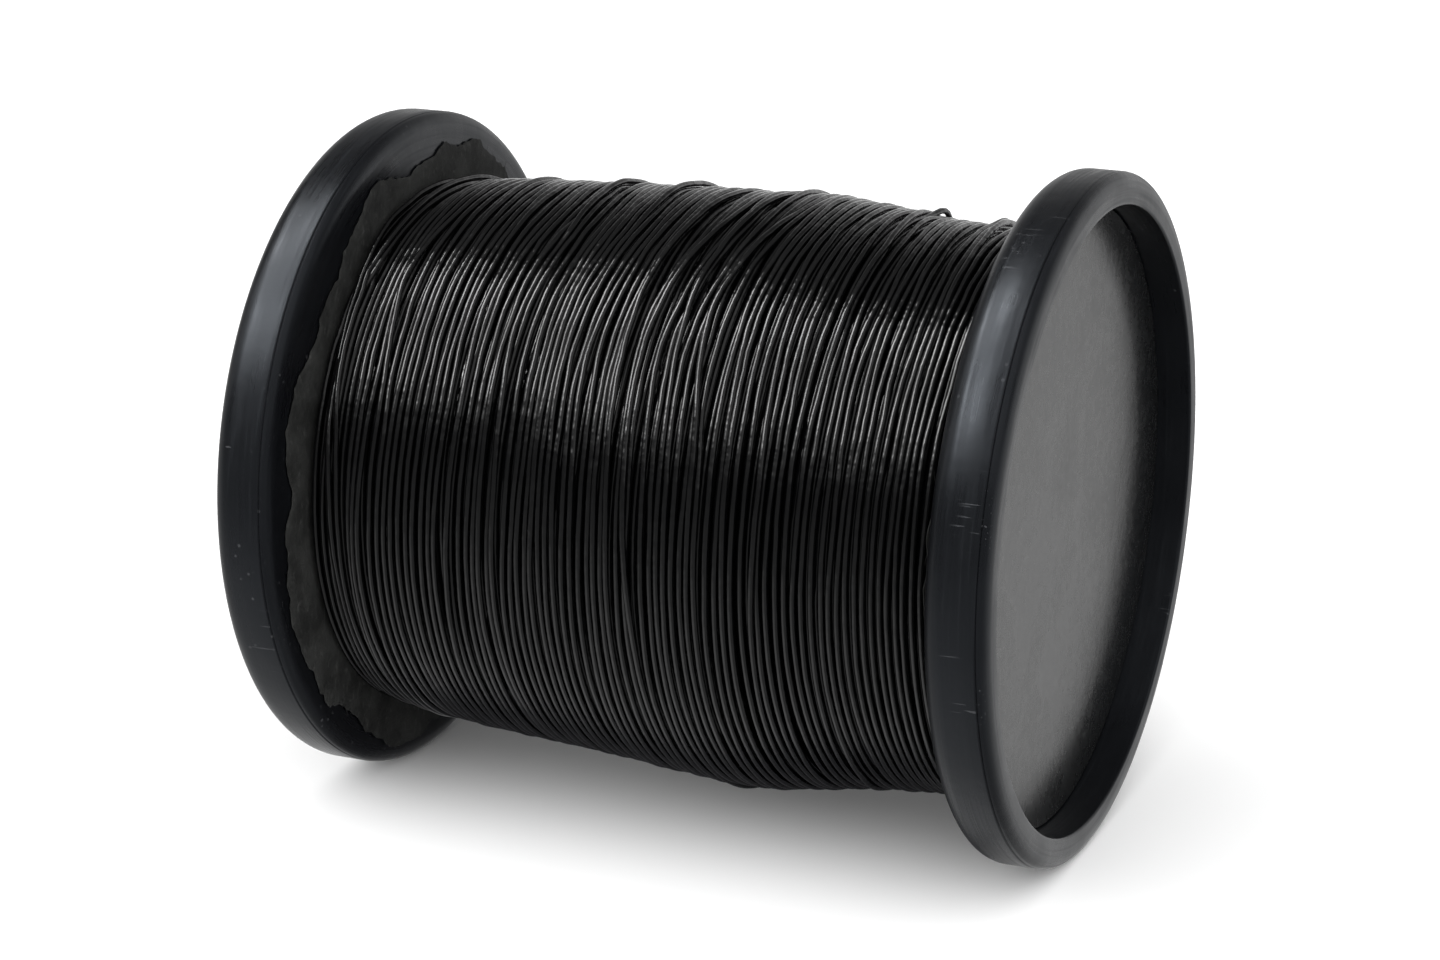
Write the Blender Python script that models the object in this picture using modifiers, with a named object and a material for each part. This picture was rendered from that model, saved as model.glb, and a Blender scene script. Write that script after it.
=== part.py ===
"""Wire spool lying on its two rims: moulded dished flanges on a barrel, full of wound wire.

Metres, +Z up. The spool's axis runs along X, the origin is on the floor under its middle, and the closed
end faces +X. Every piece is turned about its own Z and then laid along X.
"""

import math

import bpy

# Driving dimensions
FLANGE_RADIUS = 0.0800  # rim's outside
RIM_WALL = 0.0075  # rim's thickness between its outside and the recess
RIM_SOFT_ROUND = 0.0053  # rounding of each rim's -X edge
RIM_LINE_ROUND = 0.0042  # rounding of each rim's +X edge, along the radius
RIM_LINE_WIDTH = 0.0024  # the same along X: the moulds part where it begins
RECESS_DEPTH = 0.0082  # rim's end face to the closing disc
WEB_THICKNESS = 0.0047
END_DISC_THICKNESS = 0.0020
END_DISC_EDGE = 0.0004  # chamfer on the closing disc
SPINDLE_HOLE_RADIUS = 0.0135  # hole in the left closing disc
TRAVERSE = 0.1564  # between the flanges' inner faces
BARREL_RADIUS = 0.0500
BARREL_WALL = 0.0030
BARREL_SEAT_DEPTH = 0.0020  # how far the barrel sits in each web
SPIGOT_WALL = 0.0030  # ring on each web that centres the barrel
SPIGOT_LENGTH = 0.0120
ARBOR_BORE_RADIUS = 0.0110
ARBOR_WALL = 0.0030
ARBOR_SEAT_DEPTH = 0.0020
SOCKET_WALL = 0.0030  # ring on each web that centres the arbor tube
SOCKET_LENGTH = 0.0120
LINER_MARGIN = 0.0080  # flange's edge to the liner's edge
LINER_THICKNESS = 0.0005
WOUND_MARGIN = 0.0112  # flange's edge to the wound wire where it is fullest
WOUND_DROP_LEFT = 0.0066  # how much lower the wire lies at the left flange
WOUND_DROP_RIGHT = 0.0036
WOUND_PEAK = 0.0160  # where along X the wire is fullest
WOUND_SHOULDER = 8  # how sharply it drops beside the left flange, as a power
EDGE_BREAK = 0.0006  # small chamfer on tube ends and hub rings
GAP = 0.0003  # between pieces that touch

# Sizes that follow
RECESS_RADIUS = FLANGE_RADIUS - RIM_WALL
RIM_WIDTH = WEB_THICKNESS + GAP + END_DISC_THICKNESS + RECESS_DEPTH
BARREL_BORE = BARREL_RADIUS - BARREL_WALL
ARBOR_RADIUS = ARBOR_BORE_RADIUS + ARBOR_WALL
HALF_TRAVERSE = TRAVERSE / 2

STEPS = 32  # facets round each turned piece
ARC_STEPS = 4  # segments in a quarter-round
WOUND_STEPS = 12  # segments along the wound wire's outline
# Facets lie flat at the stated radius, so the spool rests on one facet of each rim.
FACET = 1 / math.cos(math.pi / STEPS)


def clear_scene():
    for old in list(bpy.data.objects):
        bpy.data.objects.remove(old)


def new_material(name, color, roughness, metallic=0.0):
    material = bpy.data.materials.new(name)
    material.use_nodes = True
    shader = material.node_tree.nodes["Principled BSDF"]
    shader.inputs["Base Color"].default_value = (*color, 1.0)
    shader.inputs["Roughness"].default_value = roughness
    shader.inputs["Metallic"].default_value = metallic
    return material


def quarter(corner_z, inwards, round_r, round_z):
    """Points of the quarter-round at a rim's corner, from its end face to its outside, in (r, z)."""
    points = []
    for i in range(ARC_STEPS + 1):
        angle = math.radians(90 * (1 - i / ARC_STEPS))
        r = FLANGE_RADIUS - round_r * (1 - math.cos(angle))
        points.append((r, corner_z + inwards * round_z * (1 - math.sin(angle))))
    return points


def turned(name, profile, closed, material, facing):
    """A piece turned from (r, z) points that run down its outer side. It is laid with its Z along facing * X."""
    mesh = bpy.data.meshes.new(name)
    edges = [(i, i + 1) for i in range(len(profile) - 1)]
    if closed:
        edges.append((len(profile) - 1, 0))
    mesh.from_pydata([(r * FACET, 0.0, z) for r, z in profile], edges, [])
    piece = bpy.data.objects.new(name, mesh)
    screw = piece.modifiers.new("Turn", "SCREW")
    screw.axis = "Z"
    screw.steps = STEPS
    screw.render_steps = STEPS
    screw.use_merge_vertices = not closed
    screw.merge_threshold = 0.00001
    screw.use_smooth_shade = True
    mesh.materials.append(material)
    piece.rotation_mode = "ZYX"
    piece.rotation_euler = (0.0, facing * math.pi / 2, math.pi / STEPS)
    return piece


def tube_profile(outer, inner, half_length):
    """A plain tube with its four edges broken."""
    e = EDGE_BREAK
    return [
        (outer - e, half_length),
        (outer, half_length - e),
        (outer, e - half_length),
        (outer - e, -half_length),
        (inner + e, -half_length),
        (inner, e - half_length),
        (inner, half_length - e),
        (inner + e, half_length),
    ]


def flange_profile(facing):
    """z runs outwards from the face beside the wire, which is at zero."""
    soft = (RIM_SOFT_ROUND, RIM_SOFT_ROUND)
    line = (RIM_LINE_ROUND, RIM_LINE_WIDTH)
    outer, inner = (line, soft) if facing > 0 else (soft, line)
    rim = quarter(RIM_WIDTH, -1, *outer) + quarter(0.0, 1, *inner)[::-1]
    seat_outer = BARREL_RADIUS + GAP
    spigot_outer = BARREL_BORE - GAP
    spigot_inner = spigot_outer - SPIGOT_WALL
    socket_inner = ARBOR_RADIUS + GAP
    socket_outer = socket_inner + SOCKET_WALL
    barrel_seat = [
        (seat_outer, 0.0),
        (seat_outer, BARREL_SEAT_DEPTH),
        (spigot_outer, BARREL_SEAT_DEPTH),
        (spigot_outer, EDGE_BREAK - SPIGOT_LENGTH),
        (spigot_outer - EDGE_BREAK, -SPIGOT_LENGTH),
        (spigot_inner, -SPIGOT_LENGTH),
        (spigot_inner, 0.0),
    ]
    arbor_seat = [
        (socket_outer, 0.0),
        (socket_outer, EDGE_BREAK - SOCKET_LENGTH),
        (socket_outer - EDGE_BREAK, -SOCKET_LENGTH),
        (socket_inner, -SOCKET_LENGTH),
        (socket_inner, ARBOR_SEAT_DEPTH),
        (ARBOR_BORE_RADIUS, ARBOR_SEAT_DEPTH),
    ]
    recess = [
        (ARBOR_BORE_RADIUS, WEB_THICKNESS),
        (RECESS_RADIUS, WEB_THICKNESS),
        (RECESS_RADIUS, RIM_WIDTH),
    ]
    return rim + barrel_seat + arbor_seat + recess


def make_flange(name, facing, material):
    flange = turned(name, flange_profile(facing), True, material, facing)
    flange.location = (facing * HALF_TRAVERSE, 0.0, 0.0)
    return flange


def make_barrel(material):
    half_length = HALF_TRAVERSE + BARREL_SEAT_DEPTH - GAP
    return turned("barrel", tube_profile(BARREL_RADIUS, BARREL_BORE, half_length), True, material, 1)


def make_arbor_tube(material):
    half_length = HALF_TRAVERSE + ARBOR_SEAT_DEPTH - GAP
    profile = tube_profile(ARBOR_RADIUS, ARBOR_BORE_RADIUS, half_length)
    return turned("arbor_tube", profile, True, material, 1)


def make_end_disc(name, facing, hole, material):
    """A closing disc at the floor of a recess, plain or with a hole for the spindle."""
    radius = RECESS_RADIUS - GAP
    edge = [
        (radius - END_DISC_EDGE, END_DISC_THICKNESS),
        (radius, END_DISC_THICKNESS - END_DISC_EDGE),
        (radius, 0.0),
    ]
    if hole:
        profile = edge + [(hole, 0.0), (hole, END_DISC_THICKNESS)]
    else:
        profile = [(0.0, END_DISC_THICKNESS)] + edge + [(0.0, 0.0)]
    disc = turned(name, profile, bool(hole), material, facing)
    disc.location = (facing * (HALF_TRAVERSE + WEB_THICKNESS + GAP), 0.0, 0.0)
    return disc


def make_liner(name, facing, material):
    """A paper washer against a flange's inner face."""
    outer = FLANGE_RADIUS - LINER_MARGIN
    inner = BARREL_RADIUS + GAP
    profile = [(outer, LINER_THICKNESS), (outer, 0.0), (inner, 0.0), (inner, LINER_THICKNESS)]
    liner = turned(name, profile, True, material, facing)
    liner.location = (facing * (HALF_TRAVERSE - GAP - LINER_THICKNESS), 0.0, 0.0)
    return liner


def wound_radius(x, half_length):
    """Outline of the wound wire: fullest at WOUND_PEAK and lower towards each flange."""
    fullest = FLANGE_RADIUS - WOUND_MARGIN
    if x < WOUND_PEAK:
        share = (WOUND_PEAK - x) / (WOUND_PEAK + half_length)
        return fullest - WOUND_DROP_LEFT * (share + share**WOUND_SHOULDER) / 2
    share = (x - WOUND_PEAK) / (half_length - WOUND_PEAK)
    return fullest - WOUND_DROP_RIGHT * share


def make_winding(material):
    half_length = HALF_TRAVERSE - LINER_THICKNESS - 2 * GAP
    inner = BARREL_RADIUS + GAP
    profile = []
    for i in range(WOUND_STEPS + 1):
        x = half_length * (1 - 2 * i / WOUND_STEPS)
        profile.append((wound_radius(x, half_length), x))
    profile += [(inner, -half_length), (inner, half_length)]
    return turned("wire_winding", profile, True, material, 1)


def build():
    clear_scene()
    spool = bpy.data.collections.new("wire_spool")
    bpy.context.scene.collection.children.link(spool)
    axis = bpy.data.objects.new("spool_axis", None)
    axis.location = (0.0, 0.0, FLANGE_RADIUS)
    spool.objects.link(axis)

    moulding = new_material("black_moulding", (0.012, 0.013, 0.015), 0.28)
    disc = new_material("satin_disc", (0.060, 0.062, 0.065), 0.50)
    tube = new_material("dark_tube", (0.030, 0.030, 0.032), 0.55)
    paper = new_material("black_paper", (0.016, 0.016, 0.017), 0.95)
    wire = new_material("black_insulation", (0.010, 0.010, 0.011), 0.32)

    pieces = [
        make_flange("left_flange", -1, moulding),
        make_flange("right_flange", 1, moulding),
        make_barrel(tube),
        make_arbor_tube(tube),
        make_end_disc("left_end_disc", -1, SPINDLE_HOLE_RADIUS, disc),
        make_end_disc("right_end_disc", 1, None, disc),
        make_liner("left_flange_liner", -1, paper),
        make_liner("right_flange_liner", 1, paper),
        make_winding(wire),
    ]
    for piece in pieces:
        spool.objects.link(piece)
        piece.parent = axis


build()
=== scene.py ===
"""Looks of the wire spool: worn black mouldings, torn paper liners and a wound wire, on a pale studio floor."""

import math

import bpy
import numpy as np
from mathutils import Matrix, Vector


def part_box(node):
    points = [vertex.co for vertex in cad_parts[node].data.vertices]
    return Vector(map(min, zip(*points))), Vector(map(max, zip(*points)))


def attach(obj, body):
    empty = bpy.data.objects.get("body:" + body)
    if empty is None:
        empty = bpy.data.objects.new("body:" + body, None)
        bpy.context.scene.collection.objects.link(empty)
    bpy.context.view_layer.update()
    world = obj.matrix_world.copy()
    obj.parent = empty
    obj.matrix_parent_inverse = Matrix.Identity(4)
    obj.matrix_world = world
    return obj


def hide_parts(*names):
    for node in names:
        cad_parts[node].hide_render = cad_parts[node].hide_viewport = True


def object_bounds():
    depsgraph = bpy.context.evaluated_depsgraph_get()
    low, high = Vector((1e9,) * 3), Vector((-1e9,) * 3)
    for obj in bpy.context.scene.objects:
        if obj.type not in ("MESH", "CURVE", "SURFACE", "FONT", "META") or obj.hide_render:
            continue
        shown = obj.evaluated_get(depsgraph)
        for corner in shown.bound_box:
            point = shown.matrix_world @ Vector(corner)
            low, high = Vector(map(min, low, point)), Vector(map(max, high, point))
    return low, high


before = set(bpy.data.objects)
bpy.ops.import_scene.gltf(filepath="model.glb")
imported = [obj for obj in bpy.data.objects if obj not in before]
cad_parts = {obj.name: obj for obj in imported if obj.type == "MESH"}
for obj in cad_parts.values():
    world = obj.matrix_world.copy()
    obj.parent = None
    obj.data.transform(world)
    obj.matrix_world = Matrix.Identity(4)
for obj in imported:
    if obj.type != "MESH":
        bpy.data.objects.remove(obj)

CAD_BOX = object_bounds()

# ---------------------------------------------------------------- sizes taken from the frame
GAP = 0.0003  # clearance between the CAD's touching pieces
SPOOL_LOW, SPOOL_HIGH = CAD_BOX
AXIS_Z = (SPOOL_LOW.z + SPOOL_HIGH.z) / 2
FLANGE_RADIUS = (SPOOL_HIGH.y - SPOOL_LOW.y) / 2
FACE_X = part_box("right_flange_liner")[1].x + GAP  # inner face of a flange
RIM_WIDTH = SPOOL_HIGH.x - FACE_X
DISC_LOW, DISC_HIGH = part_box("right_end_disc")
RECESS_RADIUS = (DISC_HIGH.y - DISC_LOW.y) / 2 + GAP
WEB_THICKNESS = DISC_LOW.x - GAP - FACE_X
DISC_THICKNESS = DISC_HIGH.x - DISC_LOW.x
BARREL_LOW, BARREL_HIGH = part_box("barrel")
BARREL_RADIUS = (BARREL_HIGH.y - BARREL_LOW.y) / 2
SEAT_DEPTH = BARREL_HIGH.x + GAP - FACE_X
ARBOR_LOW, ARBOR_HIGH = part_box("arbor_tube")
ARBOR_RADIUS = (ARBOR_HIGH.y - ARBOR_LOW.y) / 2
HUB_LENGTH = FACE_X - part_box("right_flange")[0].x
LINER_LOW, LINER_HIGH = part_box("left_flange_liner")
LINER_THICKNESS = LINER_HIGH.x - LINER_LOW.x

# Inside sizes, which the boxes above don't show
BARREL_WALL = 0.0030
ARBOR_BORE = 0.0110  # radius
HUB_RING = 0.0030  # wall of the rings that centre the barrel and the arbor tube
SPINDLE_HOLE = 0.0135  # radius of the hole in the left disc

# ---------------------------------------------------------------- camera
CAMERA_AZIMUTH = math.radians(22.93)
CAMERA_ELEVATION = math.radians(17.16)
CAMERA_DISTANCE = 0.8897
CAMERA_LENS = 93.77  # mm
SENSOR_WIDTH = 36.0  # mm
AIM_LEFT = 0.00083  # the aim passes this far left of the spool's middle
AIM_DOWN = 0.00109


def make_camera():
    back = Vector(
        (
            math.sin(CAMERA_AZIMUTH) * math.cos(CAMERA_ELEVATION),
            -math.cos(CAMERA_AZIMUTH) * math.cos(CAMERA_ELEVATION),
            math.sin(CAMERA_ELEVATION),
        )
    )
    right = Vector((0, 0, 1)).cross(back).normalized()
    up = back.cross(right)
    centre = Vector((0, 0, AXIS_Z))
    data = bpy.data.cameras.new("camera")
    data.lens = CAMERA_LENS
    data.sensor_width = SENSOR_WIDTH
    data.clip_start = 0.01
    data.clip_end = 100.0
    camera = bpy.data.objects.new("camera", data)
    camera.location = centre + back * CAMERA_DISTANCE
    aim = centre - right * AIM_LEFT - up * AIM_DOWN
    camera.rotation_mode = "QUATERNION"
    camera.rotation_quaternion = (aim - camera.location).to_track_quat("-Z", "Y")
    bpy.context.scene.collection.objects.link(camera)
    bpy.context.scene.camera = camera


# ---------------------------------------------------------------- materials
class Nodes:
    """A node tree, built from short calls."""

    def __init__(self, tree):
        self.tree = tree

    def add(self, kind, inputs=None, **settings):
        node = self.tree.nodes.new(kind)
        for key, value in settings.items():
            setattr(node, key, value)
        for key, value in (inputs or {}).items():
            if isinstance(value, bpy.types.NodeSocket):
                self.tree.links.new(value, node.inputs[key])
            else:
                node.inputs[key].default_value = value
        return node

    def math(self, operation, a, b=0.0):
        return self.add("ShaderNodeMath", {0: a, 1: b}, operation=operation).outputs[0]

    def plus(self, a, b):
        return self.math("ADD", a, b)

    def times(self, a, b):
        return self.math("MULTIPLY", a, b)

    def span(self, value, source, target=(0.0, 1.0)):
        """Maps the range source to the range target, clamped, with soft ends."""
        inputs = {"Value": value, 1: source[0], 2: source[1], 3: target[0], 4: target[1]}
        return self.add("ShaderNodeMapRange", inputs, interpolation_type="SMOOTHSTEP").outputs[0]

    def levels(self, share, stops):
        """Follows stops, (degrees, level) pairs, as share goes from 0 to 1 over -180 to 180 degrees."""
        ramp = self.add("ShaderNodeValToRGB", {0: share})
        ramp.color_ramp.interpolation = "EASE"
        highest = max(level for _, level in stops)
        made = ramp.color_ramp.elements
        for number, (degrees, level) in enumerate(stops):
            position = (degrees + 180) / 360
            stop = made[number] if number < 2 else made.new(position)
            stop.position = position
            stop.color = (level / highest, level / highest, level / highest, 1.0)
        return self.times(ramp.outputs[0], highest)


class Look(Nodes):
    """A material."""

    def __init__(self, name):
        self.material = bpy.data.materials.new(name)
        self.material.use_nodes = True
        super().__init__(self.material.node_tree)
        self.shader = self.tree.nodes["Principled BSDF"]
        self.place = self.add("ShaderNodeTexCoord").outputs["Object"]

    def noise(self, scale, detail, rough, place=None, distortion=0.0):
        inputs = {
            "Vector": place or self.place,
            "Scale": scale,
            "Detail": detail,
            "Roughness": rough,
            "Distortion": distortion,
        }
        return self.add("ShaderNodeTexNoise", inputs).outputs["Fac"]

    def stretched(self, scale, turn):
        inputs = {"Vector": self.place, "Rotation": turn, "Scale": scale}
        return self.add("ShaderNodeMapping", inputs).outputs[0]

    def turned_place(self, along):
        """Coordinates that hardly change round the spool's axis, so that noise in them runs round it."""
        parts = self.add("ShaderNodeSeparateXYZ", {0: self.place}).outputs
        height = self.math("SUBTRACT", parts[2], AXIS_Z)
        squares = self.plus(self.times(parts[1], parts[1]), self.times(height, height))
        around = self.times(self.plus(parts[1], height), along)
        inputs = {0: parts[0], 1: self.math("SQRT", squares), 2: around}
        return self.add("ShaderNodeCombineXYZ", inputs).outputs[0]

    def blend(self, share, a, b):
        """Mixes two colours by share."""
        node = self.add("ShaderNodeMix", data_type="RGBA")
        self.tree.links.new(share, node.inputs[0])
        for index, value in ((6, a), (7, b)):
            if isinstance(value, bpy.types.NodeSocket):
                self.tree.links.new(value, node.inputs[index])
            else:
                node.inputs[index].default_value = (*value, 1.0)
        return node.outputs[2]

    def needles(self, turn, scale, low, mask_scale, mask_low):
        """Short straight scratches: the peaks of a noise drawn out along one direction, here and there."""
        place = self.stretched((0.035, 1.0, 0.6), turn)
        peaks = self.span(self.noise(scale, detail=1.0, rough=0.4, place=place), (low, low + 0.04))
        mask = self.span(self.noise(mask_scale, detail=2.0, rough=0.5), (mask_low, mask_low + 0.06))
        return self.times(peaks, mask)

    def fix(self, socket, value):
        """Gives the whole surface one value."""
        self.shader.inputs[socket].default_value = value

    def vary(self, socket, value):
        self.tree.links.new(value, self.shader.inputs[socket])

    def bumps(self, *layers):
        """layers are (height, distance in metres)."""
        normal = None
        for height, distance in layers:
            inputs = {"Height": height, "Distance": distance, "Strength": 1.0}
            if normal:
                inputs["Normal"] = normal
            normal = self.add("ShaderNodeBump", inputs).outputs[0]
        self.vary("Normal", normal)


def moulding_look():
    """Semi-gloss black with streaks round the axis, small scratches and nicks."""
    look = Look("black_moulding")
    streaks = look.noise(900.0, detail=3.0, rough=0.6, place=look.turned_place(along=0.03))
    broad = look.noise(170.0, detail=2.0, rough=0.5, place=look.turned_place(along=0.08))
    clouds = look.noise(38.0, detail=4.0, rough=0.6)
    grain = look.noise(2600.0, detail=2.0, rough=0.5)
    scratches = look.math(
        "MAXIMUM",
        look.needles(turn=(0.3, 0.2, 0.5), scale=2300.0, low=0.70, mask_scale=34.0, mask_low=0.60),
        look.needles(turn=(0.9, 1.1, 1.3), scale=2600.0, low=0.69, mask_scale=28.0, mask_low=0.58),
    )
    cells = look.add("ShaderNodeTexVoronoi", {"Vector": look.place, "Scale": 420.0})
    dots = look.span(cells.outputs["Distance"], (0.10, 0.22), (1.0, 0.0))
    chosen = look.span(look.noise(55.0, detail=3.0, rough=0.6), (0.60, 0.68))
    wear = look.math("MAXIMUM", scratches, look.times(dots, chosen))

    base = look.blend(clouds, (0.0018, 0.0019, 0.0024), (0.0038, 0.0041, 0.0050))
    base = look.blend(look.times(look.span(streaks, (0.55, 0.8)), 0.5), base, (0.010, 0.011, 0.013))
    look.vary("Base Color", look.blend(look.times(wear, 0.45), base, (0.060, 0.061, 0.064)))
    look.fix("IOR", 1.37)
    look.fix("Specular Tint", (0.84, 0.91, 1.0, 1.0))
    cloudy = look.span(clouds, (0.3, 0.7), (0.26, 0.36))
    rough = look.plus(cloudy, look.span(streaks, (0.35, 0.75), (-0.03, 0.10)))
    look.vary("Roughness", look.plus(rough, look.times(wear, 0.12)))
    look.bumps(
        (broad, 0.00010),
        (clouds, 0.00026),
        (streaks, 0.000028),
        (grain, 0.000006),
        (look.math("SUBTRACT", 1.0, wear), 0.00001),
    )
    return look.material


def disc_look():
    """Satin charcoal with a faint swirl and rub marks."""
    look = Look("satin_disc")
    clouds = look.noise(30.0, detail=5.0, rough=0.62, distortion=0.4)
    grain = look.noise(1800.0, detail=3.0, rough=0.6)
    fine = look.noise(420.0, detail=4.0, rough=0.6)
    swirl = look.noise(500.0, detail=2.0, rough=0.5, place=look.turned_place(along=0.5))
    marks = look.math(
        "MAXIMUM",
        look.needles(turn=(0.1, 0.1, 1.5), scale=1500.0, low=0.66, mask_scale=26.0, mask_low=0.54),
        look.needles(turn=(0.5, 1.4, 0.9), scale=1300.0, low=0.66, mask_scale=21.0, mask_low=0.55),
    )
    base = look.blend(clouds, (0.0050, 0.0052, 0.0054), (0.0100, 0.0103, 0.0106))
    base = look.blend(look.span(fine, (0.35, 0.75), (0.0, 0.3)), base, (0.018, 0.0185, 0.019))
    look.vary("Base Color", look.blend(look.times(marks, 0.35), base, (0.07, 0.07, 0.07)))
    rough = look.plus(look.span(clouds, (0.3, 0.7), (0.24, 0.30)), look.span(fine, (0.3, 0.7), (-0.02, 0.03)))
    look.vary("Roughness", rough)
    look.bumps((clouds, 0.00025), (swirl, 0.000008), (fine, 0.000003), (grain, 0.000001), (marks, 0.000006))
    return look.material


def wire_look():
    """Glossy black insulation, slightly wavy along its length."""
    look = Look("black_insulation")
    patches = look.noise(120.0, detail=3.0, rough=0.6)
    fine = look.noise(1500.0, detail=3.0, rough=0.6)
    length = look.noise(260.0, detail=2.0, rough=0.5)
    look.vary("Base Color", look.blend(patches, (0.0006, 0.0006, 0.0007), (0.0013, 0.0013, 0.0015)))
    rough = look.plus(look.span(patches, (0.3, 0.7), (0.05, 0.09)), look.span(fine, (0.3, 0.7), (0.0, 0.02)))
    look.vary("Roughness", rough)
    look.bumps((length, 0.00026), (fine, 0.000008))
    look.fix("IOR", 1.54)
    return look.material


def paper_look():
    """Matte black crepe with pale fibres."""
    look = Look("black_paper")
    felt = look.noise(900.0, detail=5.0, rough=0.7)
    blots = look.noise(110.0, detail=4.0, rough=0.65)
    drawn_out = look.stretched((0.25, 1.0, 0.5), turn=(0.4, 0.3, 0.8))
    fibres = look.noise(700.0, detail=3.0, rough=0.6, place=drawn_out, distortion=0.6)
    base = look.blend(look.span(blots, (0.3, 0.7)), (0.0060, 0.0062, 0.0058), (0.0190, 0.0195, 0.0185))
    pale = look.span(fibres, (0.55, 0.75), (0.0, 0.6))
    look.vary("Base Color", look.blend(pale, base, (0.038, 0.0385, 0.037)))
    look.vary("Roughness", look.span(blots, (0.3, 0.7), (0.86, 0.98)))
    look.fix("Specular IOR Level", 0.3)
    look.bumps((blots, 0.00035), (felt, 0.00022), (fibres, 0.00008))
    return look.material


def tube_look():
    """Dull dark tube with faint wraps round it."""
    look = Look("dark_tube")
    wraps = look.noise(260.0, detail=3.0, rough=0.6, place=look.turned_place(along=0.1))
    fibres = look.noise(1300.0, detail=4.0, rough=0.65)
    base = look.blend(look.span(wraps, (0.3, 0.7)), (0.024, 0.024, 0.025), (0.040, 0.039, 0.039))
    pale = look.span(fibres, (0.5, 0.8), (0.0, 0.5))
    look.vary("Base Color", look.blend(pale, base, (0.060, 0.058, 0.056)))
    look.vary("Roughness", look.span(fibres, (0.3, 0.7), (0.48, 0.66)))
    look.bumps((wraps, 0.00008), (fibres, 0.00003))
    return look.material


# Reflections see the floor only right under the spool, where glossy rays get a dark grey: painted shade that
# stands in for the spool's shadow. Here it fades out beside and before it.
PAINTED_SHADE_ENDS_BESIDE = (0.070, 0.095)
PAINTED_SHADE_ENDS_BEFORE = (-0.062, -0.034)


def floor_look():
    look = Look("studio_floor")
    shade = look.noise(3.0, detail=2.0, rough=0.5)
    glossy = look.add("ShaderNodeLightPath").outputs["Is Glossy Ray"]
    white = look.blend(shade, (0.90, 0.90, 0.90), (0.92, 0.92, 0.92))
    # For glossy rays the floor is dark grey: painted shade, the spool's shadow as reflections see it.
    look.vary("Base Color", look.blend(glossy, white, (0.16, 0.16, 0.17)))
    look.fix("Roughness", 1.0)
    look.fix("Specular IOR Level", 0.0)
    parts = look.add("ShaderNodeSeparateXYZ", {0: look.place}).outputs
    beside = look.span(look.math("ABSOLUTE", parts[0]), PAINTED_SHADE_ENDS_BESIDE)
    before = look.span(parts[1], PAINTED_SHADE_ENDS_BEFORE, (1.0, 0.0))
    away = look.math("MAXIMUM", beside, before)
    mixed = look.add("ShaderNodeMixShader", {0: look.times(glossy, away)})
    clear = look.add("ShaderNodeBsdfTransparent")
    look.tree.links.new(look.shader.outputs[0], mixed.inputs[1])
    look.tree.links.new(clear.outputs[0], mixed.inputs[2])
    look.tree.links.new(mixed.outputs[0], look.tree.nodes["Material Output"].inputs["Surface"])
    return look.material


# ---------------------------------------------------------------- turned pieces
AROUND = 256  # segments round a turned piece
NEAR = 1e-6  # points nearer than this are at the same place


def around_axis(x, r, theta):
    """World points at distance r from the spool's axis. theta is zero at the front and turns up."""
    return np.stack([x, -r * np.cos(theta), AXIS_Z + r * np.sin(theta)], axis=-1)


def make_piece(name, points, faces, material, replaced=(), sharp=32.0):
    """A mesh that is smooth except where faces meet at more than sharp degrees."""
    mesh = bpy.data.meshes.new(name)
    mesh.from_pydata(np.asarray(points, float).reshape(-1, 3).tolist(), [], faces)
    mesh.validate()
    mesh.shade_smooth()
    mesh.set_sharp_from_angle(angle=math.radians(sharp))
    mesh.materials.append(material)
    piece = bpy.data.objects.new(name, mesh)
    bpy.context.scene.collection.objects.link(piece)
    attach(piece, "root")
    if replaced:
        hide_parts(*replaced)
    return piece


def grid_faces(rows, columns):
    """Quads of a grid whose columns close round the axis, and whose last row joins its first."""
    faces = []
    for i in range(rows):
        for j in range(columns):
            k = (j + 1) % columns
            n = (i + 1) % rows
            faces.append((i * columns + j, i * columns + k, n * columns + k, n * columns + j))
    return faces


def turned(name, profile, material, replaced):
    """A piece turned from a closed outline of (x, r) points. Points on the axis become one vertex."""
    outline = np.array(profile, float)
    theta = np.linspace(0.0, 2 * math.pi, AROUND, endpoint=False)
    x = np.repeat(outline[:, :1], AROUND, axis=1)
    r = np.repeat(outline[:, 1:], AROUND, axis=1)
    area = np.sum(outline[:, 0] * np.roll(outline[:, 1], -1) - np.roll(outline[:, 0], -1) * outline[:, 1])
    faces = grid_faces(len(outline), AROUND)
    if area > 0:
        faces = [face[::-1] for face in faces]
    points = around_axis(x, r, theta[None, :]).reshape(-1, 3)
    on_axis = outline[:, 1] < NEAR
    if on_axis.any():
        points, faces = close_on_axis(points, faces, on_axis)
    return make_piece(name, points, faces, material, replaced)


def close_on_axis(points, faces, on_axis):
    """Gives each ring on the axis one vertex, and drops what has collapsed."""
    target = np.arange(len(points))
    for ring in np.flatnonzero(on_axis):
        target[ring * AROUND : (ring + 1) * AROUND] = ring * AROUND
    used, index = np.unique(target, return_inverse=True)
    kept = []
    for face in faces:
        corners = []
        for corner in face:
            new = int(index[corner])
            if new not in corners:
                corners.append(new)
        if len(corners) > 2:
            kept.append(tuple(corners))
    return points[used], kept


def arc(center, radii, start, end, steps):
    """(x, r) points of an elliptical arc, angles in degrees from +x towards +r."""
    points = []
    for i in range(steps + 1):
        angle = math.radians(start + (end - start) * i / steps)
        points.append((center[0] + radii[0] * math.cos(angle), center[1] + radii[1] * math.sin(angle)))
    return points


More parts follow.
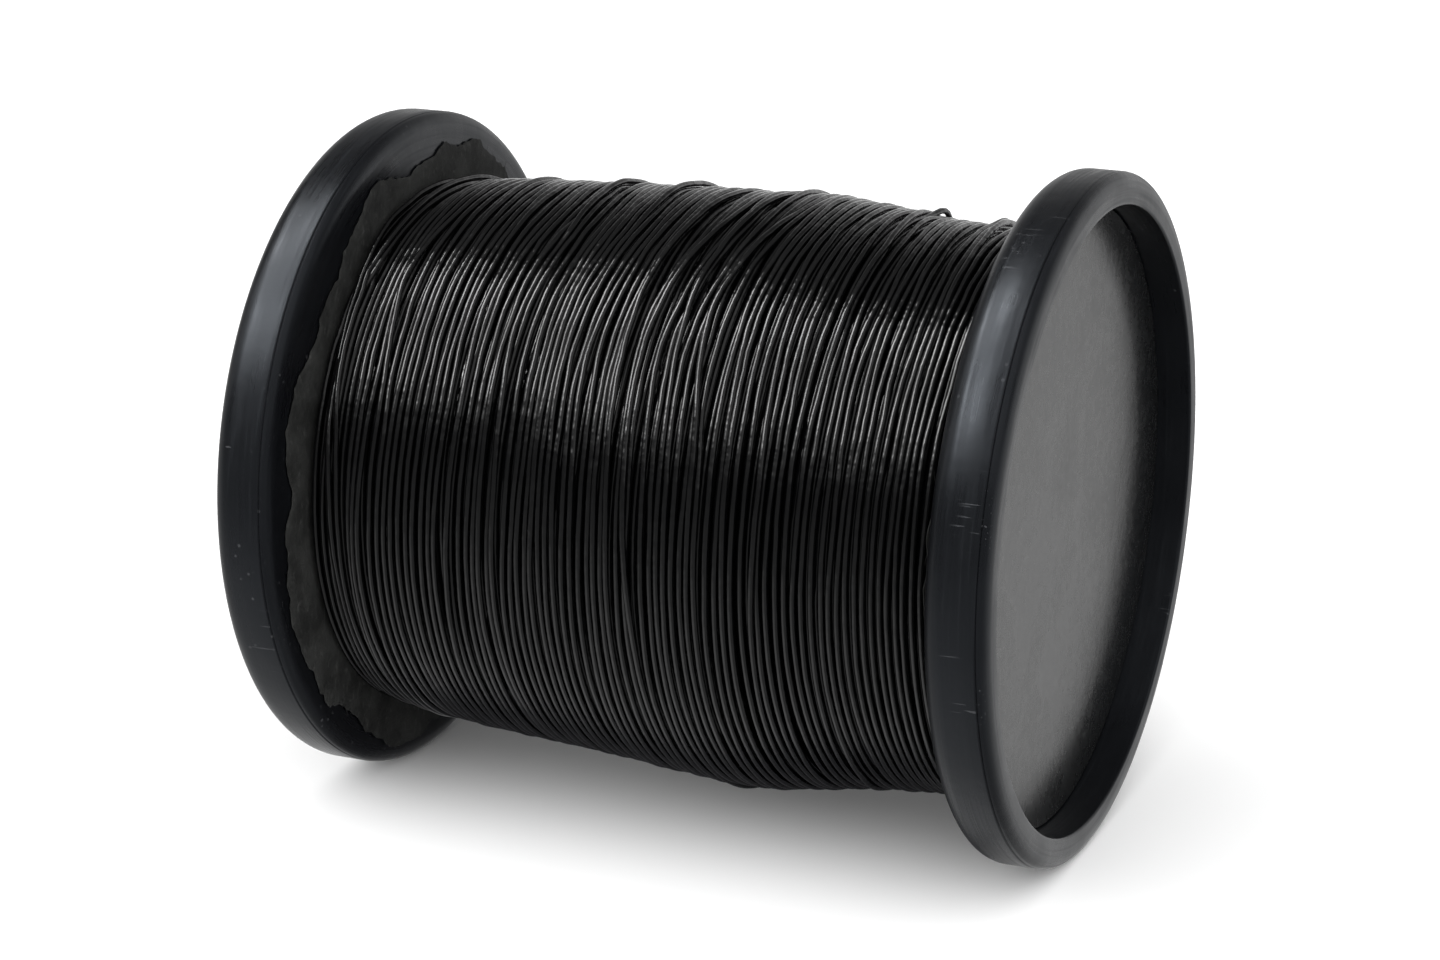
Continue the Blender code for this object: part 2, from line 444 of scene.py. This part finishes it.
# ---------------------------------------------------------------- flanges and discs
SOFT_ROUND = 0.0053  # rounding of each rim's -X edge
LINE_ROUND = 0.0042  # rounding of each rim's +X edge, along the radius
LINE_WIDTH = 0.0024  # the same along X
ROUND_STEPS = 14
LIP_ROUND = 0.0006  # rounding of the rim's edge round the recess
LIP_STEPS = 5
LINE_GROOVE = 0.00020  # half the width of the groove at the parting line, and about its depth
LINE_STEP = 0.00010  # how much lower the rim is past the parting line
EDGE_BREAK = 0.0006
DISC_CHAMFER = 0.0004
HOLE_CHAMFER = 0.0003

# Radii of extra rings of vertices, which only shorten a flat face's quads
FACE_RING = 0.066
WEB_RING = 0.035
DISC_RINGS = (0.055, 0.035)
DISC_MIDDLE_RING = 0.012


def parting_line(at, facing):
    """(u, r) points of the groove at the parting line, from the rim's inner side to its outer side."""
    points = [
        (at - facing * 2 * LINE_GROOVE, FLANGE_RADIUS),
        (at - facing * LINE_GROOVE, FLANGE_RADIUS - 0.4 * LINE_GROOVE),
        (at, FLANGE_RADIUS - 1.6 * LINE_GROOVE),
        (at + facing * LINE_GROOVE, FLANGE_RADIUS - LINE_STEP),
    ]
    return points if facing < 0 else points[::-1]


def rim_outline(facing):
    """(u, r) points from the recess over the rim to the inner face. u runs outwards from the inner face."""
    soft = (SOFT_ROUND, SOFT_ROUND)
    line = (LINE_WIDTH, LINE_ROUND)
    outer, inner = (line, soft) if facing > 0 else (soft, line)
    lip = (LIP_ROUND, LIP_ROUND)
    points = arc((RIM_WIDTH - LIP_ROUND, RECESS_RADIUS + LIP_ROUND), lip, -90, 0, LIP_STEPS)
    points += arc((RIM_WIDTH - outer[0], FLANGE_RADIUS - outer[1]), outer, 0, 90, ROUND_STEPS)
    points += arc((inner[0], FLANGE_RADIUS - inner[1]), inner, 90, 180, ROUND_STEPS)
    at = RIM_WIDTH - LINE_WIDTH if facing > 0 else LINE_WIDTH
    stepped = []
    for u, r in points:
        past = u > at + NEAR if facing > 0 else u < at - NEAR
        on_rim = r > FLANGE_RADIUS - LINE_ROUND - NEAR
        if abs(u - at) < NEAR and r > FLANGE_RADIUS - NEAR:
            stepped += parting_line(at, facing)
        else:
            stepped.append((u, r - LINE_STEP if past and on_rim else r))
    return stepped


def hub_ring(outer, inner):
    """(u, r) points down the outside of a ring on the inner face and across its end."""
    return [(EDGE_BREAK - HUB_LENGTH, outer), (-HUB_LENGTH, outer - EDGE_BREAK), (-HUB_LENGTH, inner)]


def flange_outline(facing):
    seat_outer = BARREL_RADIUS + GAP
    spigot_outer = BARREL_RADIUS - BARREL_WALL - GAP
    spigot_inner = spigot_outer - HUB_RING
    socket_inner = ARBOR_RADIUS + GAP
    socket_outer = socket_inner + HUB_RING
    points = rim_outline(facing)
    points += [(0.0, FACE_RING), (0.0, seat_outer), (SEAT_DEPTH, seat_outer), (SEAT_DEPTH, spigot_outer)]
    points += hub_ring(spigot_outer, spigot_inner) + [(0.0, spigot_inner), (0.0, socket_outer)]
    points += hub_ring(socket_outer, socket_inner) + [(SEAT_DEPTH, socket_inner)]
    points += [(SEAT_DEPTH, ARBOR_BORE), (WEB_THICKNESS, ARBOR_BORE)]
    points += [(WEB_THICKNESS, WEB_RING), (WEB_THICKNESS, RECESS_RADIUS)]
    return [(facing * (FACE_X + u), r) for u, r in points]


def disc_outline(facing, hole):
    """A closing disc, plain where hole is zero."""
    radius = RECESS_RADIUS - GAP
    low = FACE_X + WEB_THICKNESS + GAP
    high = low + DISC_THICKNESS
    points = [
        (low, radius),
        (high - DISC_CHAMFER, radius),
        (high - 0.3 * DISC_CHAMFER, radius - 0.3 * DISC_CHAMFER),
        (high, radius - DISC_CHAMFER),
    ]
    points += [(high, ring) for ring in DISC_RINGS]
    if hole:
        points += [(high, hole + HOLE_CHAMFER), (high - HOLE_CHAMFER, hole)]
        points += [(low + HOLE_CHAMFER, hole), (low, hole + HOLE_CHAMFER)]
    else:
        points += [(high, DISC_MIDDLE_RING), (high, 0.0), (low, 0.0)]
    return [(facing * u, r) for u, r in points]


# ---------------------------------------------------------------- liners
# Each tear in a liner's edge: its middle and half width in degrees, and its depth in flange radii
TEARS = (
    (20, 30, 0.024),
    (86, 11, 0.085),
    (52, 15, 0.068),
    (33, 7, 0.040),
    (4, 4, 0.040),
    (-13, 6, 0.018),
    (-52, 7, 0.025),
    (150, 20, 0.05),
    (-120, 15, 0.04),
)
EDGE_WAVES = ((12.0, 0.010), (4.0, 0.0055), (1.3, 0.0028))  # width in samples, and height in flange radii
LINER_EDGE = 0.925  # in flange radii, before it is torn
LINER_LIMIT = 0.955
LINER_SAMPLES = 900  # points round a liner
# Rings of a liner's front: share of the way from the barrel to the torn edge, and share of the full thickness
LINER_RINGS = ((0.0, 1.0), (0.35, 1.0), (0.62, 1.0), (0.8, 1.0), (0.93, 0.95), (0.985, 0.7), (1.0, 0.3))
BACK_RING = 0.6  # the ring of its back, as the same share
BACK_LIFT = 0.00005  # how far its edge stands off the flange
BACK_INSET = 0.0001  # how far inside the front's edge the back's edge is
THINNING = 0.25  # how much thinner it gets in places towards its edge
THINNING_WIDTH = 9.0  # samples
LIFT_WIDTH = 6.0  # samples
LINER_SHARP = 50.0  # degrees

FIBRES = 110
FIBRE_LENGTH = (0.0012, 0.0045)
FIBRE_LEAN = 1.3  # the most that a fibre leans sideways, in radians
FIBRE_CURL = 0.8  # the most that its direction turns along it, in radians
FIBRE_WIDTH = (0.00003, 0.00006)  # half its width
FIBRE_TAPER = 0.8
FIBRE_STEPS = 5
FIBRE_ROOT = 0.0008  # how far inside the torn edge a fibre starts
FIBRE_CLEAR = 0.00012  # between a fibre and the flange
FIBRE_RISE = 0.0007  # how far a curled fibre's tip stands up


def smooth_noise(rng, count, width, closed=False):
    """Noise of unit spread that changes over about width samples."""
    reach = int(3 * width) + 1
    kernel = np.exp(-0.5 * (np.arange(-reach, reach + 1) / width) ** 2)
    raw = rng.standard_normal(count if closed else count + 2 * reach)
    if closed:
        raw = np.take(raw, np.arange(-reach, count + reach), mode="wrap")
    return np.convolve(raw, kernel, "valid") / math.sqrt((kernel**2).sum())


def torn_edge(rng, theta, shift):
    """Outer radius of a torn paper washer at each angle. Its tears are turned by shift degrees."""
    edge = np.full(len(theta), LINER_EDGE)
    for angle, width, depth in TEARS:
        off = (np.degrees(theta) - angle - shift + 180) % 360 - 180
        edge -= depth * np.exp(-np.abs(off / width) ** 2.4)
    for width, height in EDGE_WAVES:
        edge += height * smooth_noise(rng, len(theta), width, True)
    return np.minimum(edge, LINER_LIMIT) * FLANGE_RADIUS


def make_liner(name, node, facing, material, seed, shift):
    rng = np.random.default_rng(seed)
    theta = np.linspace(-math.pi, math.pi, LINER_SAMPLES, endpoint=False)
    outer = torn_edge(rng, theta, shift)
    inner = np.full(LINER_SAMPLES, BARREL_RADIUS + GAP)
    back = FACE_X - GAP
    lift = BACK_LIFT * np.abs(smooth_noise(rng, LINER_SAMPLES, LIFT_WIDTH, True))
    rows = []
    for share, thick in LINER_RINGS:
        thin = np.abs(smooth_noise(rng, LINER_SAMPLES, THINNING_WIDTH, True)).clip(0, 1)
        depth = LINER_THICKNESS * thick * (1 - THINNING * share * thin)
        rows.append((back - depth, inner + (outer - inner) * share))
    rows.append((np.full(LINER_SAMPLES, back) - lift, outer - BACK_INSET))
    rows.append((np.full(LINER_SAMPLES, back), inner + (outer - inner) * BACK_RING))
    rows.append((np.full(LINER_SAMPLES, back), inner))
    points = np.concatenate([around_axis(facing * x, r, theta) for x, r in rows])
    faces = grid_faces(len(rows), LINER_SAMPLES)
    if facing < 0:
        faces = [face[::-1] for face in faces]
    points, faces = add_fibres(rng, points, faces, theta, outer, back, facing)
    return make_piece(name, points, faces, material, [node], LINER_SHARP)


def add_fibres(rng, points, faces, theta, outer, back, facing):
    """Short hairs of paper that stand off the torn edge."""
    points = [points]
    total = len(points[0])
    for _ in range(FIBRES):
        k = rng.integers(len(theta))
        length = rng.uniform(*FIBRE_LENGTH)
        lean = rng.uniform(-FIBRE_LEAN, FIBRE_LEAN)
        curl = rng.uniform(-FIBRE_CURL, FIBRE_CURL)
        width = rng.uniform(*FIBRE_WIDTH)
        for i in range(FIBRE_STEPS + 1):
            t = i / FIBRE_STEPS
            bend = lean + curl * t
            r = outer[k] - FIBRE_ROOT + length * t * math.cos(bend)
            angle = theta[k] + length * t * math.sin(bend) / outer[k]
            r = min(r, FLANGE_RADIUS - SOFT_ROUND)
            x = back - FIBRE_CLEAR - width - FIBRE_RISE * t * t * abs(curl)
            w = width * (1 - FIBRE_TAPER * t)
            for px, side in ((x - w, 0.0), (x, w), (x + w, 0.0), (x, -w)):
                place = (np.array([value]) for value in (facing * px, r, angle + side / r))
                points.append(around_axis(*place))
        for i in range(FIBRE_STEPS):
            for j in range(4):
                a, b = total + i * 4 + j, total + i * 4 + (j + 1) % 4
                faces.append((a, b, b + 4, a + 4))
        faces.append(tuple(total + j for j in (3, 2, 1, 0)))
        faces.append(tuple(total + FIBRE_STEPS * 4 + j for j in (0, 1, 2, 3)))
        total += 4 * (FIBRE_STEPS + 1)
    return np.concatenate(points), faces


# ---------------------------------------------------------------- wound wire
WIRE = 0.00152  # diameter over the insulation
TURNS = 79
SAMPLES = 176  # points in one turn
SEAM = math.radians(-150)  # where turns are counted from, at the back
HALF_ROOM = FACE_X - 2 * GAP - LINER_THICKNESS - WIRE / 2
PITCH = 2 * HALF_ROOM / TURNS
WIRE_SHARP = 60.0  # degrees
WIRE_SEED = 20
TOP_SIDES, UNDER_SIDES = 7, 6  # sides of the wire in each layer

# The wound wire's outline, in flange radii
FULLEST = 0.855
LEFT_FALL_FROM, LEFT_FALL_OVER, LEFT_DROP = 0.2, 1.177, 0.040
LEFT_SHOULDER = 8  # how sharply it drops beside the left flange, as a power
RIGHT_FALL_FROM, RIGHT_FALL_OVER, RIGHT_DROP = 0.25, 0.5, 0.042
SAG, SAG_MORE = 0.012, 0.028  # how much fuller it is below the spool, everywhere and near the middle
SAG_MIDDLE, SAG_WIDTH = 0.22, 0.42

# How untidy the winding is: everywhere, and more round two angles, in degrees
UNTIDY = 0.30
UNTIDY_TOP, TOP_ANGLE, TOP_WIDTH = 0.85, 62, 52.0
UNTIDY_BELOW, BELOW_ANGLE, BELOW_WIDTH = 0.30, -100, 30.0

# Unevenness: size in metres, and width in samples
UNDER_ASIDE = (0.00010, 7.0)
UNDER_UP = (0.00012, 9.0)
GAPS_SHORT = (0.00034, 9.0)
GAPS_LONG = (0.00016, 60.0)
WAVES = (0.00026, 4.5)
KINKS_UP = (0.00003, 1.5)
KINKS_ASIDE = 0.00010
KINK_WIDTHS = (2.2, 0.8)

LIFT, LIFT_SAMPLES = 0.9, 7.0  # how far the loose wire lies above its bed, in wires
CROSSINGS = 70  # tries at laying the wire across its neighbour
CROSSING_ASIDE = (0.6, 1.3)  # in pitches
CROSSING_WIDTH = (6.0, 20.0)  # samples
CROSSING_LIFT = 1.3  # in wires

# Each settling round: how far a point moves towards the middle of its neighbours along the wire, how far it
# moves back to where it was wound, and how hard turns that meet push each other
TAUT_ASIDE, TAUT_UP = 0.12, 0.25
RETURN = 0.04
PUSH_ASIDE, PUSH_UP = 0.35, 1.2
BED_EVERY = 4  # rounds between two looks at the layer below
SETTLING = ((80, 0.005), (220, 0.03))  # rounds, and how strongly the layer below draws the wire down
# x in flange radii, angle, height, half width in degrees, and how far aside it leans
PROUD_LOOPS = ((0.584, 107, 0.0021, 5.0, 0.0009), (0.763, 107, 0.0016, 4.5, 0.0007))
TAIL = 16  # samples over which the wire's end dives under the last turn
TAIL_DEPTH = 1.25  # in wires
PACK_DEPTH = 2.15  # of the pack below the two modelled layers, in wires
PACK_INSET = 0.0001  # how far its ends are inside the wire's
PACK_RINGS = 61
PACK_AROUND = 144


def uneven(rng, count, kind, scale=1.0):
    size, width = kind
    return size * scale * smooth_noise(rng, count, width)


def wound_outline(x, theta):
    """Distance from the axis to the top of the wire, in metres."""
    at = x / FLANGE_RADIUS
    left = np.clip((LEFT_FALL_FROM - at) / LEFT_FALL_OVER, 0, 1)
    right = np.clip((at - RIGHT_FALL_FROM) / RIGHT_FALL_OVER, 0, 1)
    drop = LEFT_DROP * (left + left**LEFT_SHOULDER) + RIGHT_DROP * right * right * (3 - 2 * right)
    below = ((1 - np.sin(theta)) / 2) ** 1.5
    sag = SAG + SAG_MORE * np.exp(-(((at - SAG_MIDDLE) / SAG_WIDTH) ** 2))
    return FLANGE_RADIUS * (FULLEST - drop + below * sag)


def wander_size(theta):
    """How untidy the winding is at each angle."""
    degrees = (np.degrees(theta) + 180) % 360 - 180
    top = np.exp(-np.abs((degrees - TOP_ANGLE) / TOP_WIDTH) ** 3)
    bottom = np.exp(-(((degrees - BELOW_ANGLE) / BELOW_WIDTH) ** 2))
    return UNTIDY + UNTIDY_TOP * top + UNTIDY_BELOW * bottom


def under_turns(rng):
    """(x, r, theta) of the layer below the last one, which is wound tidily."""
    count = (TURNS + 1) * SAMPLES + 1
    index = np.arange(count)
    theta = SEAM + 2 * math.pi * index / SAMPLES
    x = -HALF_ROOM + PITCH * (index / SAMPLES - 0.5) + uneven(rng, count, UNDER_ASIDE)
    nested = math.sqrt(WIRE**2 - (PITCH / 2) ** 2)
    r = wound_outline(x, theta) - WIRE / 2 - nested + uneven(rng, count, UNDER_UP)
    return np.clip(x, -HALF_ROOM, HALF_ROOM), r, theta


def wound_turns(rng):
    """Wandering x, lift and theta of the last layer's wire, before turns are kept apart."""
    count = TURNS * SAMPLES + 1
    index = np.arange(count)
    theta = SEAM + 2 * math.pi * index / SAMPLES
    wander = wander_size(theta)
    gaps = PITCH + uneven(rng, count, GAPS_SHORT, wander) + uneven(rng, count, GAPS_LONG)
    x = np.empty(count)
    x[:SAMPLES] = 0.0
    for turn in range(1, TURNS):
        here = slice(turn * SAMPLES, (turn + 1) * SAMPLES)
        before = slice((turn - 1) * SAMPLES, turn * SAMPLES)
        x[here] = x[before] + gaps[here]
    ends = x[-SAMPLES - 1 : -1]
    x = x * np.resize(PITCH * (TURNS - 1) / ends, count) + PITCH * (index % SAMPLES) / SAMPLES
    x[-1] = x[-2]
    x += uneven(rng, count, WAVES, wander)
    lift = LIFT * WIRE * np.clip(smooth_noise(rng, count, LIFT_SAMPLES) * wander, 0, 2)
    for _ in range(CROSSINGS):
        middle = rng.uniform(0, count)
        across = rng.choice((-1, 1)) * rng.uniform(*CROSSING_ASIDE) * PITCH
        width = rng.uniform(*CROSSING_WIDTH)
        if rng.uniform() < wander_size(SEAM + 2 * math.pi * middle / SAMPLES):
            bell = np.exp(-0.5 * ((index - middle) / width) ** 2)
            x += across * bell
            lift = np.maximum(lift, CROSSING_LIFT * WIRE * np.clip(1.5 * bell, 0, 1))
    return np.clip(x - HALF_ROOM, -HALF_ROOM, HALF_ROOM), lift, theta


def crests(x, under_x, under_r):
    """How far out the layer below holds a wire at each point of the last layer."""
    slot = np.arange(len(x)) % SAMPLES
    turns = len(under_x) // SAMPLES
    grid_x = under_x[: turns * SAMPLES].reshape(turns, SAMPLES)
    grid_r = under_r[: turns * SAMPLES].reshape(turns, SAMPLES)
    near = np.rint((x + HALF_ROOM) / PITCH + 0.5 - slot / SAMPLES).astype(int)
    held = np.zeros(len(x))
    for turn in (near - 1, near, near + 1):
        turn = np.clip(turn, 0, turns - 1)
        across = x - grid_x[turn, slot]
        rise = np.sqrt(np.clip(WIRE**2 - across**2, 0, None))
        held = np.maximum(held, np.where(np.abs(across) < WIRE, grid_r[turn, slot] + rise, 0))
    return held


def keep_apart(x, r, aim, under, rounds, pull):
    """Settles the turns: tension draws them in, and turns that meet lift or push each other aside."""
    for step in range(rounds):
        x[1:-1] += TAUT_ASIDE * ((x[:-2] + x[2:]) / 2 - x[1:-1])
        r[1:-1] += TAUT_UP * ((r[:-2] + r[2:]) / 2 - r[1:-1])
        x += RETURN * (aim - x)
        if step % BED_EVERY == 0:
            bed = crests(x, *under)
        r -= pull * (r - bed)
        for turns_away in (1, 2, 3):
            away = turns_away * SAMPLES
            across = x[away:] - x[:-away]
            up = r[away:] - r[:-away]
            apart = np.hypot(across, up) + 1e-9
            push = np.clip(WIRE - apart, 0, None) / 2 / apart
            x[:-away] -= PUSH_ASIDE * push * across
            x[away:] += PUSH_ASIDE * push * across
            r[:-away] -= PUSH_UP * push * up
            r[away:] += PUSH_UP * push * up
        np.maximum(r, bed, out=r)
        np.clip(x, -HALF_ROOM, HALF_ROOM, out=x)
    return x, r


def raise_loop(x, r, theta, at, degrees, height, width, aside):
    """Lifts the turn nearest to at and degrees into a loop that stands proud of the winding."""
    off = (theta - math.radians(degrees) + math.pi) % (2 * math.pi) - math.pi
    middle = int(np.argmin(np.abs(x - at * FLANGE_RADIUS) + 0.1 * np.abs(off)))
    bell = np.exp(-(((np.arange(len(x)) - middle) * 360 / SAMPLES / width) ** 2))
    return x + aside * bell, r + height * bell


def wire_map(piece, count, sides):
    """Gives the wire a UV map with a strip of its own for each turn."""
    layer = piece.data.uv_layers.new(name="OFBake")
    turns = math.ceil((count - 1) / SAMPLES)
    step = np.repeat(np.arange(count - 1), sides)
    side = np.tile(np.arange(sides), count - 1)
    turn = step // SAMPLES
    u0 = (step - turn * SAMPLES) / SAMPLES
    v0 = (turn + 0.05 + 0.9 * side / sides) / turns
    dv = 0.9 / sides / turns
    du = 1 / SAMPLES
    u = np.stack([u0, u0, u0 + du, u0 + du], axis=-1)
    v = np.stack([v0 + dv, v0, v0, v0 + dv], axis=-1)
    flat = np.zeros(len(piece.data.loops) * 2, np.float32)
    flat[: u.size * 2] = np.stack([u, v], axis=-1).reshape(-1)
    layer.data.foreach_set("uv", flat)


def make_strand(name, x, r, theta, sides, material, replaced=()):
    """One continuous wire as a tube with closed ends."""
    phi = np.linspace(0, 2 * math.pi, sides, endpoint=False)
    px = x[:, None] + WIRE / 2 * np.cos(phi)
    pr = r[:, None] + WIRE / 2 * np.sin(phi)
    points = around_axis(px, pr, theta[:, None]).reshape(-1, 3)
    low = np.arange(len(x) - 1)[:, None] * sides
    j = np.arange(sides)
    k = (j + 1) % sides
    quads = np.stack([low + k, low + j, low + sides + j, low + sides + k], axis=-1).reshape(-1, 4)
    faces = [tuple(quad) for quad in quads.tolist()]
    faces.append(tuple(range(sides)))
    faces.append(tuple(range(len(points) - 1, len(points) - 1 - sides, -1)))
    piece = make_piece(name, points, faces, material, replaced, WIRE_SHARP)
    wire_map(piece, len(x), sides)


def make_pack(material):
    """The rest of the wound wire, a ring below the two modelled layers."""
    theta = np.linspace(-math.pi, math.pi, PACK_AROUND, endpoint=False)
    ends = np.linspace(-1.0, 1.0, PACK_RINGS) * (HALF_ROOM + WIRE / 2 - PACK_INSET)
    rows = [(np.full(PACK_AROUND, at), wound_outline(at, theta) - PACK_DEPTH * WIRE) for at in ends]
    bore = np.full(PACK_AROUND, BARREL_RADIUS + GAP)
    rows += [(np.full(PACK_AROUND, ends[-1]), bore), (np.full(PACK_AROUND, ends[0]), bore)]
    points = np.concatenate([around_axis(px, pr, theta) for px, pr in rows])
    make_piece("wire_pack", points, grid_faces(len(rows), PACK_AROUND), material)


def make_wire(material):
    rng = np.random.default_rng(WIRE_SEED)
    under_x, under_r, under_theta = under_turns(rng)
    x, lift, theta = wound_turns(rng)
    under = (under_x, under_r)
    r = crests(x, *under) + lift
    aim = x.copy()
    for rounds, pull in SETTLING:
        x, r = keep_apart(x, r, aim, under, rounds, pull)
    for loop in PROUD_LOOPS:
        x, r = raise_loop(x, r, theta, *loop)
    count = len(x)
    kinked = wander_size(theta)
    slow, quick = (smooth_noise(rng, count, width) for width in KINK_WIDTHS)
    x = x + KINKS_ASIDE * kinked * (slow + 0.6 * quick)
    r = r + uneven(rng, count, KINKS_UP, kinked)
    x = np.clip(x, -HALF_ROOM, HALF_ROOM)
    tail = np.clip((np.arange(count) - (count - TAIL)) / (TAIL - 1), 0, 1)
    r = r - TAIL_DEPTH * WIRE * tail * tail * (3 - 2 * tail)
    make_strand("wire_top_layer", x, r, theta, TOP_SIDES, material, ["wire_winding"])
    make_strand("wire_under_layer", under_x, under_r, under_theta, UNDER_SIDES, material)
    make_pack(material)


# ---------------------------------------------------------------- studio
FLOOR_SIZE = 12.0  # half its side

# Brightness by angle round the spool's axis, in degrees: front horizon 0, overhead 90, back horizon 180, and
# straight down -90. LEFT, RIGHT and BOXES are what polished surfaces mirror: the room on each side of the
# spool, and the soft boxes. LIGHTING is what lights everything else.
LEFT = (
    (-180, 0.85),
    (-46, 0.85),
    (-28, 0.62),
    (-10, 0.26),
    (16, 0.15),
    (34, 0.40),
    (92, 0.50),
    (104, 0.26),
    (120, 0.12),
    (130, 0.15),
    (142, 0.28),
    (160, 0.50),
    (180, 0.75),
)
RIGHT = (
    (-180, 0.90),
    (-148, 0.80),
    (-130, 0.50),
    (-100, 0.34),
    (-20, 0.28),
    (16, 0.16),
    (40, 0.6),
    (88, 0.7),
    (104, 0.25),
    (130, 0.15),
    (150, 0.34),
    (180, 0.90),
)
BOXES = (
    (-180, 0.0),
    (28, 0.0),
    (37, 4.5),
    (45, 15.0),
    (57, 15.0),
    (63, 9.5),
    (72, 9.5),
    (78, 17.0),
    (90, 17.0),
    (101, 0.0),
    (180, 0.0),
)
LIGHTING = (
    (-180, 0.45),
    (-90, 0.9),
    (0, 2.4),
    (30, 2.8),
    (60, 2.6),
    (90, 1.7),
    (120, 0.7),
    (150, 0.45),
    (180, 0.45),
)

# The rest are x components of a direction, -1 to the left and 1 to the right.
RIGHT_BEGINS = (-0.10, 0.14)  # the left room gives way to the right one
FAR_LEFT = (-0.95, -0.60)  # the left room and the soft boxes fade towards the left
FAR_LEFT_ROOM, FAR_LEFT_BOXES = 0.6, 0.5  # how bright they are at the far left
CLOTH_ENDS = (-0.20, -0.08)
CLOTH = 0.10  # brightness of the soft boxes' cloth, where their tubes' is 1
TUBES = ((-0.56, -0.50), (-0.27, -0.21))
TUBE_EDGE = 0.05


def make_floor(material):
    s = FLOOR_SIZE
    mesh = bpy.data.meshes.new("studio_floor")
    mesh.from_pydata([(-s, -s, 0), (s, -s, 0), (s, s, 0), (-s, s, 0)], [], [(0, 1, 2, 3)])
    mesh.materials.append(material)
    floor = bpy.data.objects.new("studio_floor", mesh)
    bpy.context.scene.collection.objects.link(floor)


def soft_boxes(sky, toward):
    """Brightness across the soft boxes: a dim cloth and two bright tubes behind it."""
    across = sky.span(toward, FAR_LEFT, (FAR_LEFT_BOXES, 1.0))
    across = sky.times(sky.times(across, sky.span(toward, CLOTH_ENDS, (1.0, 0.0))), CLOTH)
    for low, high in TUBES:
        begins = sky.span(toward, (low - TUBE_EDGE, low))
        ends = sky.span(toward, (high, high + TUBE_EDGE), (1.0, 0.0))
        across = sky.plus(across, sky.times(begins, ends))
    return across


def make_sky():
    """Two soft boxes overhead to the left, a dark room before the spool and a white wall behind it."""
    world = bpy.data.worlds.new("studio")
    bpy.context.scene.world = world
    world.use_nodes = True
    world.node_tree.nodes.clear()
    sky = Nodes(world.node_tree)
    place = sky.add("ShaderNodeTexCoord").outputs["Generated"]
    parts = sky.add("ShaderNodeSeparateXYZ", {0: place}).outputs
    angle = sky.math("ARCTAN2", parts[2], sky.times(parts[1], -1.0))
    share = sky.plus(sky.math("DIVIDE", angle, 2 * math.pi), 0.5)
    to_right = sky.span(parts[0], RIGHT_BEGINS)
    to_left = sky.math("SUBTRACT", 1.0, to_right)
    far_left = sky.span(parts[0], FAR_LEFT, (FAR_LEFT_ROOM, 1.0))
    left = sky.times(sky.times(sky.levels(share, LEFT), far_left), to_left)
    right = sky.times(sky.levels(share, RIGHT), to_right)
    boxes = sky.times(sky.levels(share, BOXES), soft_boxes(sky, parts[0]))
    seen = sky.add("ShaderNodeBackground", {1: sky.plus(sky.plus(left, right), boxes)})
    lit = sky.add("ShaderNodeBackground", {1: sky.levels(share, LIGHTING)})
    for light in (seen, lit):
        light.inputs[0].default_value = (1.0, 1.0, 1.0, 1.0)
    mixed = sky.add("ShaderNodeMixShader", {0: sky.add("ShaderNodeLightPath").outputs["Is Glossy Ray"]})
    sky.tree.links.new(lit.outputs[0], mixed.inputs[1])
    sky.tree.links.new(seen.outputs[0], mixed.inputs[2])
    output = sky.add("ShaderNodeOutputWorld")
    sky.tree.links.new(mixed.outputs[0], output.inputs["Surface"])


# ---------------------------------------------------------------- the scene
def build():
    make_camera()
    moulding = moulding_look()
    disc = disc_look()
    paper = paper_look()
    tube = tube_look()
    turned("left_flange_moulding", flange_outline(-1), moulding, ["left_flange"])
    turned("right_flange_moulding", flange_outline(1), moulding, ["right_flange"])
    turned("left_disc", disc_outline(-1, SPINDLE_HOLE), disc, ["left_end_disc"])
    turned("right_disc", disc_outline(1, 0.0), disc, ["right_end_disc"])
    make_liner("left_torn_liner", "left_flange_liner", -1, paper, seed=3, shift=0.0)
    make_liner("right_torn_liner", "right_flange_liner", 1, paper, seed=8, shift=40.0)
    for node in ("barrel", "arbor_tube"):
        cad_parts[node].data.materials[0] = tube
    make_wire(wire_look())
    make_floor(floor_look())
    make_sky()
    bpy.context.scene.view_settings.view_transform = "Standard"


build()
